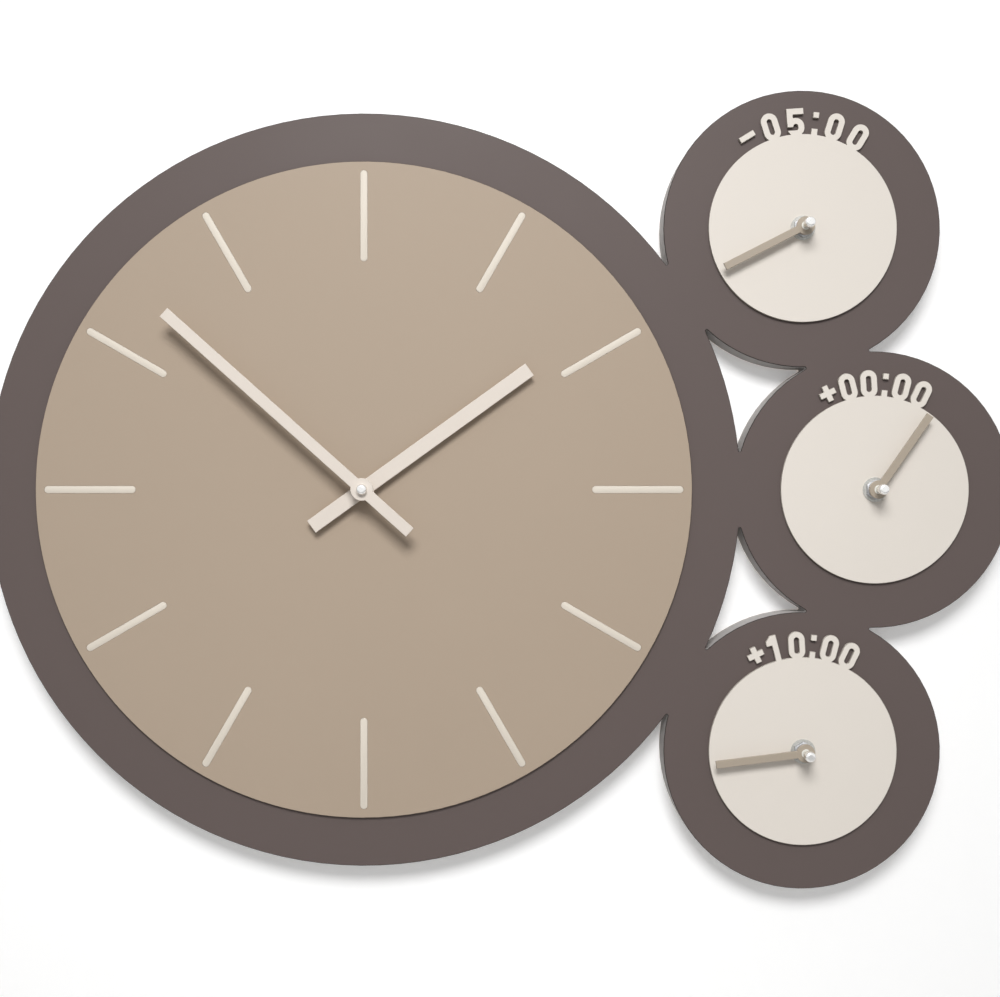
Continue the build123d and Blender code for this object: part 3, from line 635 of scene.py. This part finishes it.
# Cells: a steel can in a shrunk jacket, with a band at the positive end
cell = {"radius": 0.00695, "steps": 64, "slots": ("cell_jacket", "cell_band", "zinc_steel")}
cellProfile = [  # radius as a share, distance from the flat end in metres, finish of the stretch that follows
    (0.66, 0.0003, "zinc_steel"), (0.70, 0.0, "zinc_steel"), (0.86, 0.0, "cell_jacket"),
    (0.96, 0.00015, "cell_jacket"), (1.0, 0.0006, "cell_jacket"), (1.0, 0.0400, "cell_band"),
    (1.0, 0.0432, "cell_jacket"), (1.0, 0.0484, "cell_jacket"), (0.97, 0.0489, "cell_jacket"),
    (0.88, 0.0493, "cell_jacket"), (0.80, 0.0491, "zinc_steel"), (0.44, 0.0490, "zinc_steel"),
    (0.38, 0.0493, "zinc_steel"), (0.37, 0.0501, "zinc_steel"), (0.31, 0.0505, "zinc_steel")]


def makeCell(dial):
    low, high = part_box(f"{dial}_battery_cell")
    middle = (low + high) / 2
    steps, slots = cell["steps"], cell["slots"]
    rings = []
    for share, distance, _ in cellProfile:
        ring = circle(cell["radius"] * share, distance, steps)
        rings.append([(low.x - y, middle.y + x, middle.z + z) for x, y, z in ring])
    mesh = skin(f"{dial}Cell", rings)
    for slotName in slots:
        mesh.materials.append(finishes[slotName])
    for index, face in enumerate(mesh.polygons):
        stretch = index // steps
        isEnd = stretch >= len(cellProfile) - 1
        face.material_index = slots.index("zinc_steel" if isEnd else cellProfile[stretch][2])
    finishPiece(addPiece(f"{dial}Cell", mesh), "cell_jacket", f"{dial}_battery_cell")


for dial in dials:
    makeCell(dial)

# Coil windings: fine wire in even turns on a filled core
coil = {"turns": 56, "wireRadius": 0.0001, "stepsPerTurn": 20, "wireSides": 5, "coreSides": 32}


def makeCoilTree():
    tree, given = newTree("winding", {"Geometry": "geometry", "Material": "material", "Turns": "float",
                                      "Radius": "float", "Length": "float", "Wire": "float"})
    helix = addNode(tree, "GeometryNodeCurveSpiral",
                    [("Resolution", coil["stepsPerTurn"]), ("Rotations", given["Turns"]),
                     ("Start Radius", given["Radius"]), ("End Radius", given["Radius"]),
                     ("Height", given["Length"])])
    profile = addNode(tree, "GeometryNodeCurvePrimitiveCircle",
                      [("Resolution", coil["wireSides"]), ("Radius", given["Wire"])])
    wire = addNode(tree, "GeometryNodeCurveToMesh",
                   [("Curve", helix.outputs[0]), ("Profile Curve", profile.outputs[0]), ("Fill Caps", True)])
    core = addNode(tree, "GeometryNodeMeshCylinder",
                   [("Vertices", coil["coreSides"]), ("Radius", given["Radius"]), ("Depth", given["Length"])])
    half = addNode(tree, "ShaderNodeMath", [(0, given["Length"]), (1, 0.5)], operation="MULTIPLY")
    lift = addNode(tree, "ShaderNodeCombineXYZ", [("Z", half.outputs[0])])
    raised = addNode(tree, "GeometryNodeTransform",
                     [("Geometry", core.outputs[0]), ("Translation", lift.outputs[0])])
    whole = addNode(tree, "GeometryNodeJoinGeometry", [("Geometry", wire.outputs[0])])
    tree.links.new(raised.outputs[0], whole.inputs[0])
    copies = addNode(tree, "GeometryNodeInstanceOnPoints",
                     [("Points", given["Geometry"]), ("Instance", whole.outputs[0])])
    closeTree(tree, copies.outputs[0], given["Material"])
    return tree


def makeWindings():
    low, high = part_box("coil_windings")
    level, radius = (low.y + high.y) / 2, (high.y - low.y) / 2
    side = high.x - radius - centre["middle"].x
    bottom = low.z - centre["lower"].z
    length = high.z - centre["upper"].z - bottom
    wire = coil["wireRadius"]
    places = [(centre[dial].x + side, level, centre[dial].z + bottom + wire) for dial in dials]
    values = {"Material": finishes["copper_wire"], "Turns": coil["turns"], "Radius": radius - wire,
              "Length": length - wire * 2, "Wire": wire}
    finishPiece(grow("coilWindings", makeCoilTree(), values, places), "copper_wire", "coil_windings")


makeWindings()

# Moulded and cut pieces with their edges broken
edges = {"zoneDial": 0.0003, "mark": 0.0003, "case": 0.0003, "hanger": 0.0002, "cover": 0.00015,
         "washer": 0.00012}
for dial in zones:
    softened(f"{dial}ZoneDial", f"{dial}_zone_dial", edges["zoneDial"])
for dial in dials:
    softened(f"{dial}MovementCase", f"{dial}_movement_case", edges["case"])
softened("raisedMarks", "raised_marks", edges["mark"])
softened("hangerPlates", "hanger_plates", edges["hanger"])
softened("rearCovers", "rear_covers", edges["cover"])
softened("clampWashers", "clamp_washers", edges["washer"])
print("pieces: indices, nuts, bushings, screws, cells, windings and broken edges")


# Camera: straight on, as the photo was taken
view = {"distance": 0.640, "metresPerPixel": 0.0005712, "frameSize": (1000, 997), "sensor": 36,
        "basePixel": (364.2, 489.6), "axisPixel": (470, 495), "clipStart": 0.01}


def makeCamera():
    data = bpy.data.cameras.new("camera")
    camera = bpy.data.objects.new("camera", data)
    bpy.context.scene.collection.objects.link(camera)
    width, height = view["frameSize"]
    across = (view["axisPixel"][0] - view["basePixel"][0]) * view["metresPerPixel"]
    down = (view["axisPixel"][1] - view["basePixel"][1]) * view["metresPerPixel"]
    camera.location = (across, baseFront - view["distance"], -down)
    camera.rotation_euler = (math.pi / 2, 0, 0)
    data.sensor_width = view["sensor"]
    data.lens = view["sensor"] * view["distance"] / (view["metresPerPixel"] * width)
    data.shift_x = (width / 2 - view["axisPixel"][0]) / width
    data.shift_y = (view["axisPixel"][1] - height / 2) / width
    data.clip_start = view["clipStart"]
    bpy.context.scene.camera = camera


# Wall, floor and light
studio = {"wallGap": 0.0004, "wallSize": 5.0, "floorLevel": -0.62, "floorSize": 6.0,
          "wallWhite": 0.89, "wallGlow": 0.19, "floorTone": (0.42, 0.415, 0.405), "floorGlow": 0.34,
          "skyStrength": 0.41}
keyLight = {"place": (0.02, -1.08, 0.775), "aim": (0.03, 0.0, -0.60), "width": 0.71, "height": 0.50,
            "power": 6.90, "spread": 112, "mirrored": True}
backLight = {"place": (0.9, 2.0, 0.25), "aim": (0.075, 0.0, 0.0), "width": 1.4, "height": 1.0,
             "power": 12, "spread": 90, "mirrored": False}


def stagePlane(name, corners):
    mesh = bpy.data.meshes.new(name)
    mesh.from_pydata(corners, [], [range(len(corners))])
    plane = bpy.data.objects.new(name, mesh)
    bpy.context.scene.collection.objects.link(plane)
    return plane


def seenRays(tree):
    # 1 for rays that see the backdrop directly, in a mirror or through glass
    rays = tree.nodes.new("ShaderNodeLightPath")
    seen = rays.outputs["Is Camera Ray"]
    for name in ("Is Glossy Ray", "Is Transmission Ray"):
        seen = calculate(tree, "MAXIMUM", seen, rays.outputs[name])
    return seen


def backdropMaterial(name, tone, glow):
    # white paint that adds a little of its own glow for the viewer and is open from behind
    material = bpy.data.materials.new(name)
    material.use_nodes = True
    tree = material.node_tree
    tree.nodes.clear()
    coat = tree.nodes.new("ShaderNodeBsdfDiffuse")
    coat.inputs["Color"].default_value = (*tone, 1)
    shine = tree.nodes.new("ShaderNodeEmission")
    tree.links.new(calculate(tree, "MULTIPLY", seenRays(tree), glow), shine.inputs["Strength"])
    both = tree.nodes.new("ShaderNodeAddShader")
    tree.links.new(coat.outputs["BSDF"], both.inputs[0])
    tree.links.new(shine.outputs["Emission"], both.inputs[1])
    behind = tree.nodes.new("ShaderNodeNewGeometry")
    mix = tree.nodes.new("ShaderNodeMixShader")
    tree.links.new(behind.outputs["Backfacing"], mix.inputs["Fac"])
    tree.links.new(both.outputs["Shader"], mix.inputs[1])
    clear = tree.nodes.new("ShaderNodeBsdfTransparent")
    tree.links.new(clear.outputs["BSDF"], mix.inputs[2])
    output = tree.nodes.new("ShaderNodeOutputMaterial")
    tree.links.new(mix.outputs["Shader"], output.inputs["Surface"])
    return material


def areaLight(name, settings):
    data = bpy.data.lights.new(name, "AREA")
    data.shape = "ELLIPSE"
    data.size, data.size_y = settings["width"], settings["height"]
    data.energy = settings["power"]
    data.spread = math.radians(settings["spread"])
    lamp = bpy.data.objects.new(name, data)
    bpy.context.scene.collection.objects.link(lamp)
    lamp.location = settings["place"]
    lamp.visible_glossy = settings["mirrored"]
    away = lamp.location - Vector(settings["aim"])
    lamp.rotation_euler = away.to_track_quat("Z", "Y").to_euler()


def makeStudio():
    middle = sum((Vector(corner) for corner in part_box("back_board")), Vector()) / 2
    half, gap = studio["wallSize"] / 2, studio["wallGap"]
    floor, reach = studio["floorLevel"], studio["floorSize"] / 2
    left, right = middle.x - half, middle.x + half
    wall = stagePlane("wall", [(left, gap, floor), (right, gap, floor),
                               (right, gap, half), (left, gap, half)])
    wall.data.materials.append(backdropMaterial("wallPaint", (studio["wallWhite"],) * 3, studio["wallGlow"]))
    wall.visible_shadow = False
    ground = stagePlane("floor", [(middle.x - reach, -reach, floor), (middle.x + reach, -reach, floor),
                                  (middle.x + reach, reach, floor), (middle.x - reach, reach, floor)])
    ground.data.materials.append(backdropMaterial("floorPaint", studio["floorTone"], studio["floorGlow"]))
    areaLight("keyLight", keyLight)
    areaLight("backLight", backLight)
    world = bpy.data.worlds.new("studio")
    bpy.context.scene.world = world
    world.use_nodes = True
    tree = world.node_tree
    sky = tree.nodes["Background"]
    sky.inputs["Color"].default_value = (1, 1, 1, 1)
    tree.links.new(remap(tree, seenRays(tree), 0, 1, studio["skyStrength"], 1), sky.inputs["Strength"])
    bpy.context.scene.view_settings.view_transform = "Standard"


makeCamera()
makeStudio()
print("studio: camera, wall, floor and lights")
